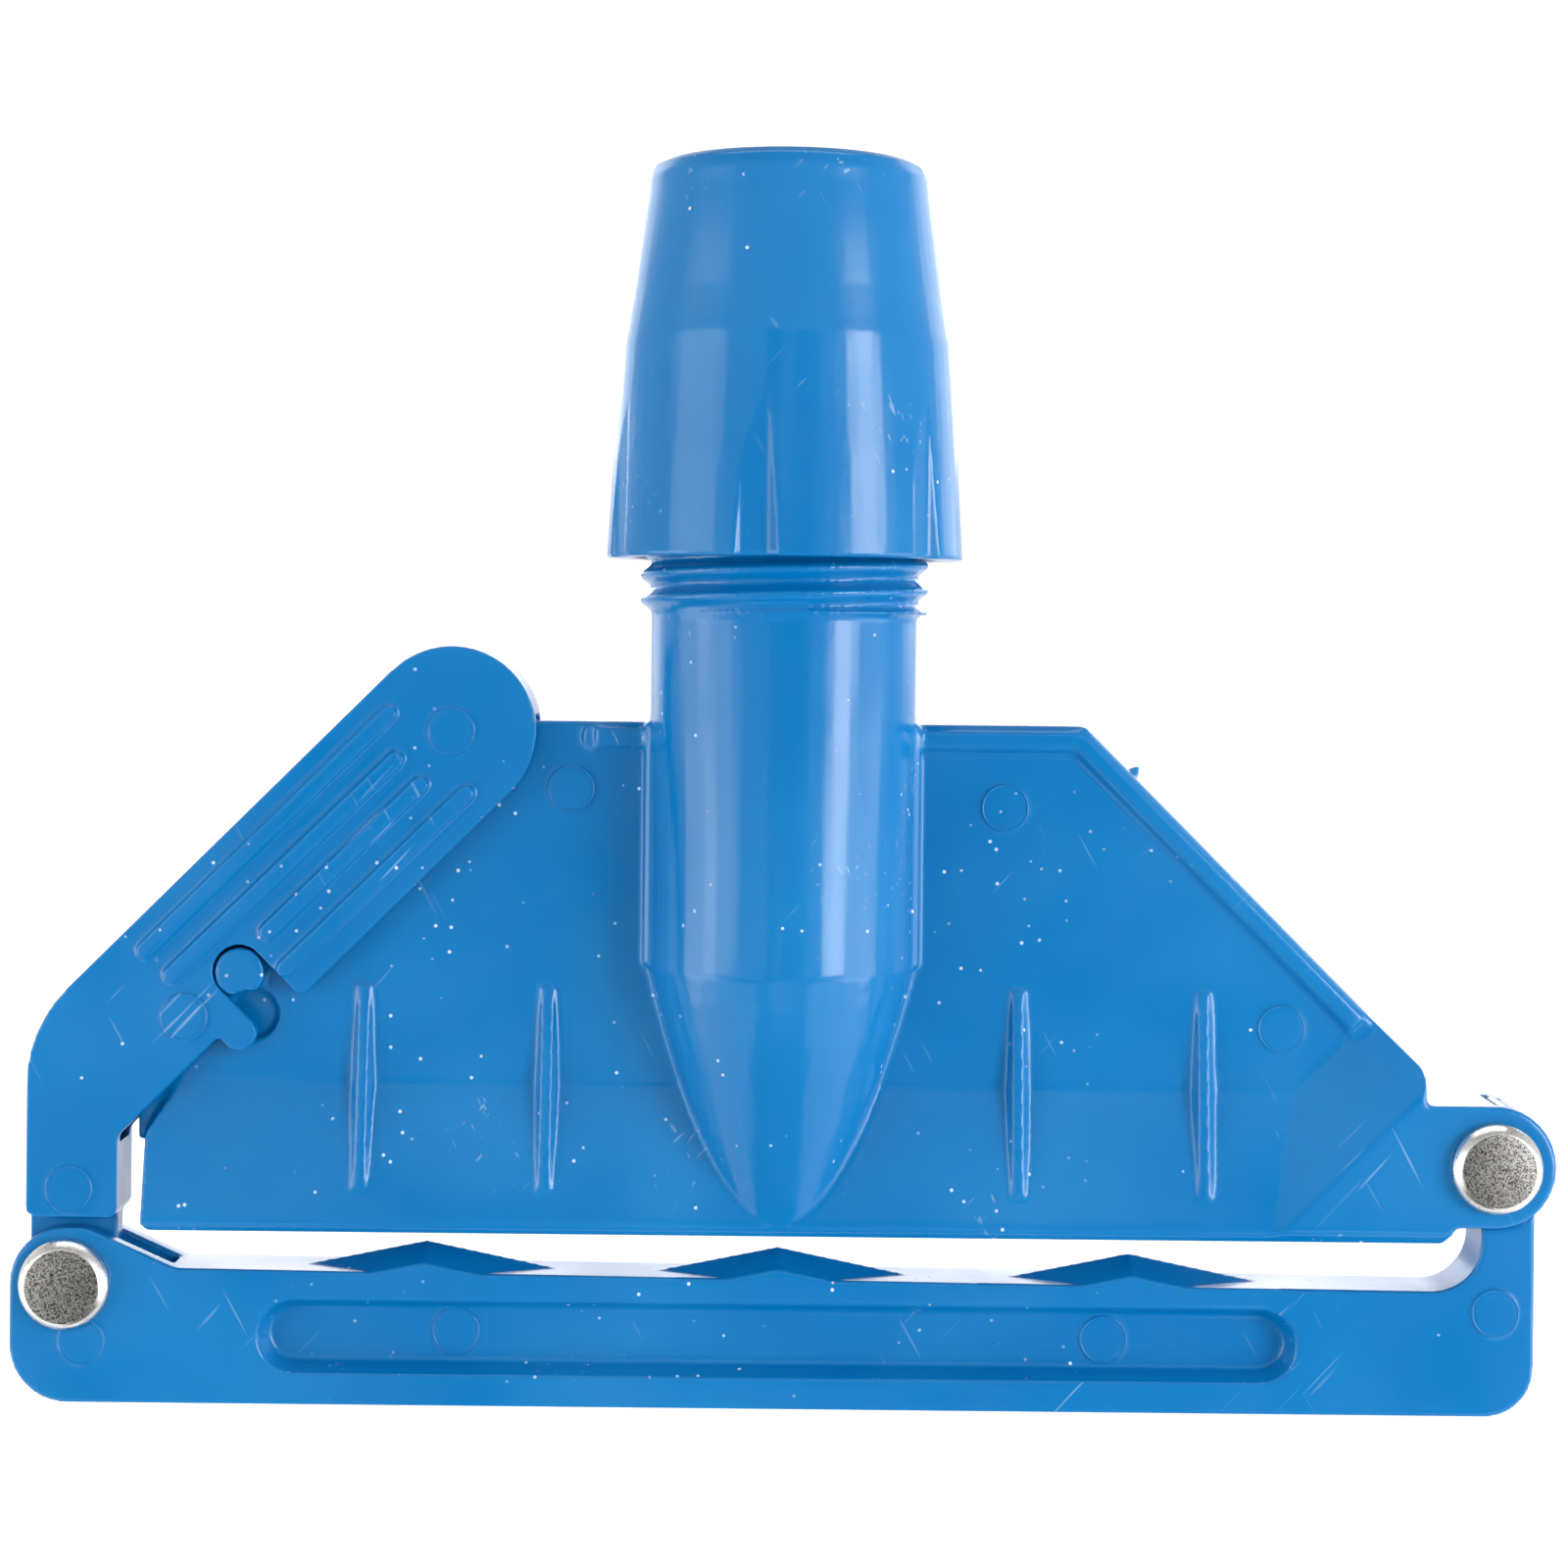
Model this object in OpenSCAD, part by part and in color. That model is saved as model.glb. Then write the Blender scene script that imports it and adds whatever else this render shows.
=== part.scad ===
// Wet-mop clamp head: a plate with a pole socket, a screw collar that grips the pole,
// and a hinged jaw bar that a swinging lever locks shut on the mop's band.
// Millimetres. X runs along the jaw, Z up the pole, and the front faces -Y.
// The origin is the middle of the pole's seat, at the blind end of the socket.

/* [Pole socket] */
// Diameter of the pole that the socket takes
pole_d = 25; // [24:0.1:25.2]
// Gap all round between the pole and the socket's bore
pole_gap = 0.25; // [0.15:0.05:0.35]
// Outside diameter of the socket tube
neck_d = 32.2; // [32:0.1:32.6]
// Height of the socket tube above the pole's seat
neck_h = 60; // [59:0.5:61]
// Pitch of the collar's screw thread
pitch = 3; // [2.8:0.1:3.2]

/* [Screw collar] */
// Height of the collar's lower edge when the clamp is as supplied
collar_z = 44.2; // [43.8:0.1:44.6]
// Length of the collar
collar_h = 47.8; // [47.4:0.1:48.2]
// Outside diameter of the collar at its lower edge
collar_d = 43.2; // [42.8:0.1:43.4]
// Outside diameter of the collar below its rounded top
collar_top_d = 34.9; // [34.6:0.1:35.1]
// Number of grip steps round the collar
grip_steps = 6; // [4:1:8]

/* [Plate] */
// Thickness of the plate's web
web_t = 3; // [2.8:0.1:3.2]
// Thickness of the plate along its clamping lip
lip_t = 11.2; // [10.8:0.1:11.4]
// Thickness of the hinge block and its two ears
block_t = 12; // [11.8:0.1:12.4]
// Thickness of the plate's raised rim
rim_t = 5.4; // [5:0.1:6]

/* [Jaw bar] */
// Thickness of the jaw bar
bar_t = 8.8; // [8.6:0.1:9]
// Height of the jaw bar's teeth
tooth_h = 3.1; // [2.6:0.1:3.2]
// Spacing of the jaw bar's teeth
tooth_gap = 42.6; // [42:0.1:43]
// Depth of the racetrack hollow in each face of the bar
hollow_depth = 2.9; // [2:0.1:3.2]

/* [Lever] */
// Thickness of the locking lever
lever_t = 8.4; // [8.2:0.1:8.6]
// Thickness of each of the lever's two walls
lever_wall = 1.6; // [1.5:0.1:1.7]
// Width of the lever's arm
lever_w = 20.4; // [20:0.1:20.8]

/* [Rivets] */
// Diameter of the rivets' shanks
rivet_d = 5; // [4.8:0.1:5.2]
// Diameter of the rivets' heads
rivet_head_d = 10.9; // [10.6:0.1:11.2]
// Height of the rivets' heads
rivet_head_h = 2.2; // [2:0.1:2.4]

/* [Hidden] */

$fn = 64;
eps = 0.01;
edge = 0.05;              // shortest straight left between two round corners
plastic = [0.03, 0.47, 0.78];
steel = [0.66, 0.66, 0.64];

// Fits
running_gap = 0.08;      // round a rivet's shank, on the radius
side_gap = 0.2;          // each side of a tongue between two cheeks
bore_r = pole_d / 2 + pole_gap;

// The plate's outline, as corners with their radii: [x, z, r]
plate_top = 24.4;
plate_foot = -37.2;
plate_left = -77.5;
plate_right = 77.5;
plate_foot_left = -76.4; // the lip's left end is set in a little from the plate's
slant_sum = 61;          // x + z along the slanted right edge
hinge = [85.8, -27.8];   // axis of the hinge rivet
ear_r = 7.3;
ear_top = hinge.y + ear_r;
ear_foot = hinge.y - ear_r;
plate_corners = [
    [plate_top - slant_sum, plate_top, 0.8],
    [plate_left, plate_left + slant_sum, 1],
    [plate_left, -26.7, 0.3],
    [plate_foot_left, -26.7, 0.3],
    [plate_foot_left, plate_foot, 1.2],
    [79.9, plate_foot, 1],
    [81.2, ear_foot, 0.8],
    [hinge.x + ear_r, ear_foot, ear_r - edge],
    [hinge.x + ear_r, ear_top, ear_r - edge],
    [plate_right, ear_top, 0.6],
    [plate_right, slant_sum - plate_right, 3],
    [slant_sum - plate_top, plate_top, 1.5]
];
rim_w = 3.6;
rim_in = rim_w / 2;      // from the plate's edge to the middle of the rim's bead
rim_starts = [-22.5, 35.85];
rim_end = [69.7, -11.2];
rim_round_h = 0.6;       // how far the bead's round end stays below its top
crease_z = -19.4;        // where the lip starts to flare out
crease_x = 62.2;         // where the hinge block starts to rise
lip_z = -35.4;           // where the lip's bottom bevel starts
lip_relief = [-73.2, -27.6]; // the lever's wall passes above and left of these x and z
block_ramp = 10.3;       // length of the ramp up to the hinge block
gusset_x = [-50.3, -28.1, 28.8, 51.2];
gusset_top = -7.8;
gusset_foot = -32;
gusset_w = 1.4;          // width of a gusset's crest
gusset_draft = 0.3;      // how much each side spreads for its depth
gusset_proud = 0.35;     // height of the crest above the plate at each end
stud = [-65.1, -6.2];
stud_r = 2.95;
relief = [-63.8, -11.4];
relief_r = 3.1;
relief_depth = 0.9;      // of the shallow pocket beside the stud
root_w = neck_d + 1;     // width of the flat that roots the tube in the plate
nose_top = -5;
nose_foot = -36.6;
nose_foot_r = 5.2;
mark_r = 2.75;           // ejector-pin marks
mark_h = 0.2;
plate_marks = [[-25.5, 16.2], [27, 14.4], [60.7, -12]];

// Thread: one start, with a rounded form
thread_top_r = 17.6;
thread_root_r = neck_d / 2;
thread_foot_z = 37.6;
thread_len = 15;
thread_play = 0.4;
thread_mid_r = (thread_top_r + thread_root_r) / 2;
thread_swing = (thread_top_r - thread_root_r) / 2;
slices_a_turn = 10;
screw_sides = 40;

// Outer surface of the collar, as radius and height above its lower edge
collar_profile = [
    [collar_d / 2, 0],
    [collar_d / 2 - 0.7, 12],
    [collar_d / 2 - 1.6, 26],
    [collar_d / 2 - 2.5, 31.5],
    [collar_top_d / 2, collar_h - 4],
    [collar_top_d / 2 - 0.2, collar_h - 2],
    [collar_top_d / 2 - 0.8, collar_h - 0.7],
    [collar_top_d / 2 - 2, collar_h]
];
grip_depth = 1.2;        // of the hollow beside each grip step
grip_w = 4.6;            // width of the hollow's floor and step together
grip_riser = 1.4;        // width of the sloping step itself
grip_h = 30;
grip_turn = -91.7;       // angle of the first step, just left of the front

// Grip sleeve, which the collar carries up and down without turning it
sleeve_foot_z = 61.5;
sleeve_tip_r = 13.6;
sleeve_r = 15;
seat_slope = 0.375;      // of the matching cones, radius per height
sleeve_flange_r = 16.4;
sleeve_flange_z = 69.2;
sleeve_flange_h = 2.4;
sleeve_top_z = 87.2;
sleeve_slot_w = 1.6;
sleeve_slot_top = 82;
sleeve_slots = 4;
seat_mouth_r = 15;
pole_hole_gap = 0.65;    // round the bore, at the collar's top

// Jaw bar's outline
lever_pivot = [-85.5, -43.7];
bar_left = -92.2;
bar_right = 90.9;
bar_foot = -58;
bar_ear_r = lever_pivot.x - bar_left;
bar_ear_top = lever_pivot.y + bar_ear_r;
bar_corners = [
    [bar_left, bar_ear_top, bar_ear_r - edge],
    [bar_left, bar_foot, 7],
    [bar_right, bar_foot, 5.9],
    [bar_right, hinge.y, 0],
    [84.6, hinge.y, 0],
    [84.6, -43.1, 5.9],
    [-72.4, -41.8, 3],
    [-83.2, bar_ear_top, 4]
];
bar_marks = [[-83.5, -50.6], [86.2, -45.5]];
hollow_marks = [[-38.8, -49.6], [39.5, -49.8]];
tongue_r = 6.4;
tongue_t = block_t - 3.8 - 2 * side_gap;
hollow_half = 62.5;      // half the length of the racetrack hollow
hollow_z = -49.8;
hollow_r = 4.5;
hollow_floor_r = 3.3;
tooth_half = 15.2;       // half a tooth's length along the bar
tooth_reach = 7;         // half its width before the bar's faces cut it
tooth_z = -42.4;         // of the middle tooth's base; the bar's top falls to the right
top_fall = 1.3 / 157;    // slope of the bar's top
clevis_gap = 4;
clevis_right = -73;
clevis_r = 7;

// Lever's outline. Its arm runs up at 45 degrees: "across" is z - x and "along" is x + z
function turned(along, across, r) = [(along - across) / 2, (along + across) / 2, r];
arm_out = 77.4;
arm_in = arm_out - lever_w * sqrt(2);
arm_end = -2.3;
lever_left = -90.5;
lever_inside = -79.5;
lever_foot = -35.8;
notch_r = 3.1;
notch_up = -66.7;
notch_down = -75.6;
notch_deep = 63.5;
lobe_end = 48.6;
lobe_down = -81.4;
lobe_r = 2;
slant_in = 53.5;
lever_corners = [
    [lever_left, lever_foot, 1.4],
    [lever_inside, lever_foot, 1],
    [lever_inside, lever_inside + slant_in, 1.5],
    turned(lobe_down, slant_in, 0.4),
    turned(lobe_down, lobe_end, lobe_r),
    turned(notch_down, lobe_end, lobe_r),
    turned(notch_down, notch_deep, notch_r),
    turned(notch_up, notch_deep, notch_r),
    turned(notch_up, arm_in, 1),
    turned(arm_end, arm_in, lever_w / 2 - edge),
    turned(arm_end, arm_out, lever_w / 2 - edge),
    [lever_left, lever_left + arm_out, 16]
];
// The back wall has no notch: its inner edge steps straight from the slant to the arm
back_wall_corners = [
    turned(lobe_down - 2, arm_in, 2),
    turned(notch_up + 8, arm_in, 0),
    turned(notch_up + 8, 66, 0),
    turned(lobe_down - 2, 66, 0)
];
lever_spine = 3;         // thickness of the wall that joins the lever's two walls
stud_top = lever_t / 2 - lever_wall - 0.1; // the stud stops just inside the lever's walls
spine_in = arm_out - lever_spine * sqrt(2);
channel_corners = [
    [-79.4, -27], [-84.6, -27], [-84.6, -84.6 + spine_in],
    xz(turned(-22, spine_in, 0)), xz(turned(-11, 66, 0)), [-34, 25], [-20, 25], [-20, -27]
];
hub_r = 5.6;
neck_half = 5.2;
lever_marks = [[-39.8, 23.1], [-71.6, -11.6], [-85.2, -32.4]];
grip_rib_w = 2;
grip_rib_h = 0.65;
grip_ribs = [            // both ends of each rib
    [[-76.3, -3.6], [-47.4, 25.1]],
    [[-73.1, -6.5], [-46.5, 19.6]],
    [[-61.6, -1.2], [-43.5, 16.6]],
    [[-59.5, -5.6], [-38, 15.6]]
];

// Points of a corner at b, rounded to radius r, between a and c
function unit(v) = v / norm(v);
function rounded(a, b, c, r) =
    let (u = unit(a - b), v = unit(c - b), half = acos(u * v) / 2)
    let (centre = b + unit(u + v) * r / sin(half), from = b + u * r / tan(half) - centre)
    let (sweep = -sign(cross(u, v)) * (180 - 2 * half), steps = ceil(abs(sweep) / 7.5))
    let (start = atan2(from.y, from.x))
    [for (i = [0:steps]) centre + r * [cos(start + sweep * i / steps), sin(start + sweep * i / steps)]];
function xz(corner) = [corner.x, corner.y];
function outline(corners) =
    let (n = len(corners))
    [for (i = [0:n - 1])
        let (a = corners[(i + n - 1) % n], b = corners[i], c = corners[(i + 1) % n])
        each (b.z == 0 ? [xz(b)] : rounded(xz(a), xz(b), xz(c), b.z))];

// A flat shape, drawn in X and Z, made solid from y = front to y = back
module slab(front, back) {
    translate([0, back, 0])
        rotate([90, 0, 0])
            linear_extrude(back - front)
                children();
}

// The same, centred on the part's middle plane
module plank(thickness) {
    slab(-thickness / 2, thickness / 2) children();
}

// A round bar or hole along Y
module along_y(at, r, front, back) {
    slab(front, back) translate(at) circle(r);
}

// A profile drawn in Y and Z, run along X
module beam(left, right) {
    translate([left, 0, 0])
        rotate([90, 0, 90])
            linear_extrude(right - left)
                children();
}

// A bar with round ends between two points
module stadium(a, b, r) {
    reach = norm(b - a) + r;
    round = r - edge / 2;
    translate(a)
        rotate(atan2(b.y - a.y, b.x - a.x))
            polygon(outline([[-r, -r, round], [-r, r, round], [reach, r, round], [reach, -r, round]]));
}

// A one-start screw: rings of radius "mid" whose centres wind round the axis, "swing" off it,
// starting at the angle "phase"
module screw(mid, swing, height, phase) {
    n = screw_sides;
    slices = ceil(slices_a_turn * height / pitch);
    points = [for (i = [0:slices], j = [0:n - 1])
        let (z = height * i / slices, lean = phase + 360 * z / pitch, a = 360 * j / n)
        [mid * cos(a) + swing * cos(lean), mid * sin(a) + swing * sin(lean), z]];
    walls = [for (i = [0:slices - 1], j = [0:n - 1])
        let (a = i * n + j, b = i * n + (j + 1) % n)
        each [[a, a + n, b + n], [a, b + n, b]]];
    foot = [for (j = [0:n - 1]) j];
    top = [for (j = [n - 1:-1:0]) slices * n + j];
    polyhedron(points, concat([foot, top], walls));
}

// The plate's flared lip, cut back where the lever's walls pass it
module lip() {
    beyond = 6;
    right = 79;
    difference() {
        beam(plate_foot_left, right)
            polygon([[-web_t / 2, crease_z], [-lip_t / 2, lip_z], [-lip_t / 2, plate_foot - 1],
                     [lip_t / 2, plate_foot - 1], [lip_t / 2, lip_z], [web_t / 2, crease_z]]);
        slab(-block_t, block_t)
            polygon([[plate_left, lip_relief.y], [lip_relief.x, crease_z - 1],
                     [lip_relief.x, crease_z + beyond], [plate_left, crease_z + beyond]]);
    }
}

// The hinge block: a wedge whose ramp crosses the plate at 45 degrees
module block() {
    reach = 60;
    translate([crease_x, 0, crease_z])
        rotate([0, 45, 0])
            linear_extrude(1.5 * reach, center = true)
                polygon([[0, -web_t / 2], [block_ramp, -block_t / 2], [reach, -block_t / 2],
                         [reach, block_t / 2], [block_ramp, block_t / 2], [0, web_t / 2]]);
}

// Both, inside the plate's outline and with their foot bevelled
module lip_and_block() {
    bevel_slope = 1;
    foot_y = 4.6;
    wide = 9;
    far = 100;
    intersection() {
        union() {
            lip();
            block();
        }
        plank(block_t + 2) polygon(outline(plate_corners));
        beam(-far, far)
            polygon([[-wide, plate_foot + (wide - foot_y) * bevel_slope], [-foot_y, plate_foot - eps],
                     [foot_y, plate_foot - eps], [wide, plate_foot + (wide - foot_y) * bevel_slope],
                     [wide, plate_top + wide], [-wide, plate_top + wide]]);
    }
}

// A bevelled bead along the plate's edge, from a to b, with a round end at b
module rim_bead(a, b) {
    half_t = rim_t / 2;
    half_w = rim_w / 2;
    translate([a.x, 0, a.y])
        rotate([0, -atan2(b.y - a.y, b.x - a.x), 0])
            beam(0, norm(b - a))
                polygon([[-half_t, -half_w / 2], [-half_t, half_w / 2], [-web_t / 2, half_w],
                         [web_t / 2, half_w], [half_t, half_w / 2], [half_t, -half_w / 2],
                         [web_t / 2, -half_w], [-web_t / 2, -half_w]]);
    along_y(b, half_w - 0.1, -half_t + rim_round_h, half_t - rim_round_h);
}

module rim() {
    rim_z = plate_top - rim_in;
    rim_bead([0, rim_z], [rim_starts[0], rim_z]);
    rim_bead([0, rim_z], [rim_starts[1], rim_z]);
    rim_bead([rim_starts[1], rim_z], rim_end);
}

// Drafted rib over the crease, on the plate's front and back: its crest runs straight from the
// web down to the lip
module gusset(x) {
    lip_rise = (lip_t - web_t) / 2 * (crease_z - gusset_foot) / (crease_z - lip_z);
    run = gusset_top - gusset_foot;
    lean = atan(lip_rise / run);
    depth = web_t / 2 + lip_rise;
    base = gusset_w / 2 + gusset_draft * depth;
    for (side = [0, 1])
        mirror([0, side, 0])
            intersection() {
                translate([x, -web_t / 2 - gusset_proud, gusset_top])
                    rotate([-lean, 0, 0])
                        translate([0, 0, -run / cos(lean)])
                            linear_extrude(run / cos(lean))
                                polygon([[-gusset_w / 2, 0], [gusset_w / 2, 0], [base, depth],
                                         [-base, depth]]);
                // Each one stops at the plate's middle
                translate([x - base, -block_t, gusset_foot - 1])
                    cube([2 * base, block_t, run + 2]);
            }
}

// Bullet-shaped nose that fairs the socket into the plate
module nose() {
    steps = 8;
    fall = nose_top - nose_foot;
    draw_in = 0.24;      // slope of the nose's side at its top
    bulge = neck_d / 2 - nose_foot_r - draw_in * fall;
    rotate_extrude()
        polygon(concat(
            [[0, nose_foot], [0, nose_top]],
            [for (i = [0:steps])
                let (t = i / steps)
                [neck_d / 2 - draw_in * fall * t - bulge * t * t, nose_top - fall * t]]));
}

module socket_tube() {
    thinned = 1.2;       // the tube is thinner inside the collar
    translate([0, 0, nose_top]) cylinder(h = neck_h - nose_top, d = neck_d - thinned);
    translate([0, 0, nose_top]) cylinder(h = thread_foot_z - nose_top + thinned / 2, d = neck_d);
    translate([0, 0, thread_foot_z])
        screw(thread_mid_r, thread_swing, thread_len, 0);
}

module socket_bore() {
    seat_h = (seat_mouth_r - bore_r) / seat_slope;
    cylinder(h = neck_h + 1, r = bore_r);
    translate([0, 0, neck_h - seat_h])
        cylinder(h = seat_h + eps, r1 = bore_r, r2 = seat_mouth_r + seat_slope * eps);
}

// Room for the jaw bar's tongue between the two ears
module ear_gap() {
    plank(tongue_t + 2 * side_gap)
        union() {
            translate(hinge) circle(tongue_r + 0.6);
            translate([84, ear_foot - 5]) square([12, hinge.y - ear_foot + 5]);
        }
}

module clamp_holder() {
    color(plastic)
        difference() {
            union() {
                plank(web_t) polygon(outline(plate_corners));
                lip_and_block();
                rim();
                for (x = gusset_x)
                    gusset(x);
                nose();
                socket_tube();
                plank(rim_t + 1)
                    translate([-root_w / 2, nose_top])
                        square([root_w, plate_top - nose_top]);
                along_y(stud, stud_r, -stud_top, 0);
                for (at = plate_marks)
                    along_y(at, mark_r, -web_t / 2 - mark_h, 0);
            }
            socket_bore();
            ear_gap();
            along_y(hinge, rivet_d / 2, -block_t, block_t);
            along_y(relief, relief_r, -block_t, -web_t / 2 + relief_depth);
        }
}

// Hollow beside a grip step: cut straight up, so that it runs out where the collar tapers in
module grip_hollow() {
    clear = 4;
    translate([collar_d / 2, 0, -1])
        linear_extrude(grip_h)
            polygon([[0.3, 0.25 * grip_riser], [-grip_depth, -grip_riser], [-grip_depth, -grip_w],
                     [0.4, -grip_w - 1.8], [clear, -grip_w - 1.8], [clear, 0.25 * grip_riser]]);
}

module collar_cavity() {
    thread_start = 1;
    thread_h = 20.8;
    mouth_h = 1.4;
    snap_h = 1.9;        // height of the lip that the sleeve's flange snaps past
    snap_r = 15.7;
    chamber_r = 16.8;
    groove_gap = 0.2;    // round the sleeve's flange
    flange_z = sleeve_flange_z - collar_z;
    snap_z = flange_z - snap_h;
    // Internal thread, in step with the socket tube's
    translate([0, 0, thread_start])
        screw(thread_mid_r + thread_play, thread_swing, thread_h,
              360 * (collar_z + thread_start - thread_foot_z) / pitch);
    // Clear mouth below the thread
    translate([0, 0, -1]) cylinder(h = mouth_h + 1, r = thread_top_r + thread_play + 0.5);
    translate([0, 0, thread_h - 0.5]) cylinder(h = snap_z - thread_h + 0.5, r = chamber_r);
    translate([0, 0, snap_z - eps]) cylinder(h = snap_h + 0.1, r = snap_r);
    translate([0, 0, flange_z - groove_gap / 2])
        cylinder(h = sleeve_flange_h + groove_gap, r = sleeve_flange_r + groove_gap);
    translate([0, 0, flange_z])
        cylinder(h = sleeve_top_z - sleeve_flange_z + groove_gap, r = sleeve_r + 0.3);
    // Hole for the pole
    cylinder(h = collar_h + 1, r = bore_r + pole_hole_gap);
}

module pole_collar() {
    color(plastic)
        translate([0, 0, collar_z])
            difference() {
                rotate_extrude() polygon(concat([[0, 0]], collar_profile, [[0, collar_h]]));
                collar_cavity();
                for (i = [0:grip_steps - 1])
                    rotate(360 * i / grip_steps + grip_turn) grip_hollow();
            }
}

module grip_sleeve() {
    cone_h = (sleeve_r - sleeve_tip_r) / seat_slope;
    color(plastic)
        difference() {
            union() {
                translate([0, 0, sleeve_foot_z]) cylinder(h = cone_h, r1 = sleeve_tip_r, r2 = sleeve_r);
                translate([0, 0, sleeve_foot_z + cone_h])
                    cylinder(h = sleeve_top_z - sleeve_foot_z - cone_h, r = sleeve_r);
                translate([0, 0, sleeve_flange_z]) cylinder(h = sleeve_flange_h, r = sleeve_flange_r);
            }
            translate([0, 0, sleeve_foot_z - 1]) cylinder(h = sleeve_top_z - sleeve_foot_z + 2, r = bore_r);
            for (i = [0:sleeve_slots - 1])
                rotate(360 * i / sleeve_slots + 45)
                    translate([0, -sleeve_slot_w / 2, sleeve_foot_z - 1])
                        cube([sleeve_flange_r + 1, sleeve_slot_w, sleeve_slot_top - sleeve_foot_z + 1]);
        }
}

// Racetrack hollow whose walls lean in to a smaller floor
module hollow() {
    reach = hollow_half - hollow_r;
    for (side = [-1, 1])
        translate([side * reach, -bar_t / 2 - eps, hollow_z])
            rotate([-90, 0, 0])
                cylinder(h = hollow_depth, r1 = hollow_r, r2 = hollow_floor_r);
    beam(-reach, reach)
        polygon([[-bar_t / 2 - eps, hollow_z - hollow_r], [-bar_t / 2 - eps, hollow_z + hollow_r],
                 [-bar_t / 2 + hollow_depth - eps, hollow_z + hollow_floor_r],
                 [-bar_t / 2 + hollow_depth - eps, hollow_z - hollow_floor_r]]);
}

// Diamond pyramid, cut flush with the bar's faces
module tooth() {
    sunk = 1.5;
    intersection() {
        polyhedron(
            [[tooth_half, 0, 0], [0, tooth_reach, 0], [-tooth_half, 0, 0], [0, -tooth_reach, 0],
             [0, 0, tooth_h], [0, 0, -sunk]],
            [[4, 1, 0], [4, 2, 1], [4, 3, 2], [4, 0, 3], [5, 0, 1], [5, 1, 2], [5, 2, 3], [5, 3, 0]]);
        translate([-tooth_half, -bar_t / 2, -sunk]) cube([2 * tooth_half, bar_t, sunk + tooth_h]);
    }
}

module clevis_slot() {
    plank(clevis_gap)
        union() {
            translate(lever_pivot) circle(clevis_r);
            translate([bar_left - 1, lever_pivot.y - clevis_r])
                square([lever_pivot.x - bar_left + 1, 2 * clevis_r + 2]);
            translate([bar_left - 1, lever_pivot.y - 1])
                square([clevis_right - bar_left + 1, clevis_r + 5]);
        }
}

module jaw_bar() {
    color(plastic) {
        difference() {
            union() {
                plank(bar_t)
                    polygon(outline(bar_corners));
                plank(tongue_t)
                    translate(hinge) circle(tongue_r);
                for (i = [-1:1])
                    translate([i * tooth_gap, 0, tooth_z - i * tooth_gap * top_fall]) tooth();
                for (at = bar_marks)
                    along_y(at, mark_r, -bar_t / 2 - mark_h, 0);
            }
            // A flat seat for the rivet's head
            along_y(lever_pivot, rivet_head_d / 2 + 0.3, -bar_t, -bar_t / 2);
            for (side = [-1, 1])
                mirror([0, side > 0 ? 1 : 0, 0]) {
                    hollow();
                    // The tongue is thinner than the bar, to pass between the ears
                    along_y(hinge, ear_r + 0.3, -bar_t, -tongue_t / 2);
                }
            clevis_slot();
            along_y(hinge, rivet_d / 2 + running_gap, -bar_t, bar_t);
            along_y(lever_pivot, rivet_d / 2, -bar_t, bar_t);
        }
        for (at = hollow_marks)
            along_y(at, mark_r, -bar_t / 2 + hollow_depth - mark_h, 0);
    }
}

module lever_outline() {
    polygon(outline(lever_corners));
}

module locking_lever() {
    color(plastic)
        difference() {
            union() {
                slab(-lever_t / 2, -lever_t / 2 + lever_wall) lever_outline();
                slab(lever_t / 2 - lever_wall, lever_t / 2)
                    union() {
                        lever_outline();
                        polygon(outline(back_wall_corners));
                    }
                // Between the walls: the spine and the solid shank
                plank(lever_t - 2 * lever_wall)
                    difference() {
                        lever_outline();
                        polygon(channel_corners);
                    }
                plank(clevis_gap - 2 * side_gap)
                    union() {
                        translate(lever_pivot) circle(hub_r);
                        translate([lever_pivot.x - neck_half + 0.4, lever_pivot.y])
                            square([2 * neck_half, lever_foot - lever_pivot.y + 1]);
                    }
                for (rib = grip_ribs)
                    slab(-lever_t / 2 - grip_rib_h, -lever_t / 2 + 1)
                        stadium(rib[0], rib[1], grip_rib_w / 2);
                for (at = lever_marks)
                    along_y(at, mark_r, -lever_t / 2 - mark_h, -lever_t / 2 + 1);
            }
            along_y(lever_pivot, rivet_d / 2 + running_gap, -lever_t, lever_t);
        }
}

// Factory head at the front, shank, and formed head at the back
module rivet(at, grip_t) {
    bevel = 1;
    tail_r = 4;
    tail_h = 1.5;
    color(steel)
        translate([at.x, -grip_t / 2, at.y])
            rotate([-90, 0, 0])
                rotate_extrude()
                    polygon([[0, -rivet_head_h], [rivet_head_d / 2 - bevel, -rivet_head_h],
                             [rivet_head_d / 2 - 0.1, -rivet_head_h + 1.3], [rivet_head_d / 2, 0],
                             [rivet_d / 2, 0], [rivet_d / 2, grip_t], [tail_r, grip_t],
                             [tail_r - 0.2, grip_t + 0.7], [tail_r - 1.2, grip_t + tail_h],
                             [0, grip_t + tail_h]]);
}

module hinge_rivet() {
    rivet(hinge, block_t);
}

module lever_rivet() {
    rivet(lever_pivot, bar_t);
}

clamp_holder();
pole_collar();
grip_sleeve();
jaw_bar();
locking_lever();
hinge_rivet();
lever_rivet();
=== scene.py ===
import math

import bmesh
import bpy
from bpy.props import FloatProperty, FloatVectorProperty, IntProperty, PointerProperty
from bpy.types import Operator, Panel, PropertyGroup
from mathutils import Matrix, Vector


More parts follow.
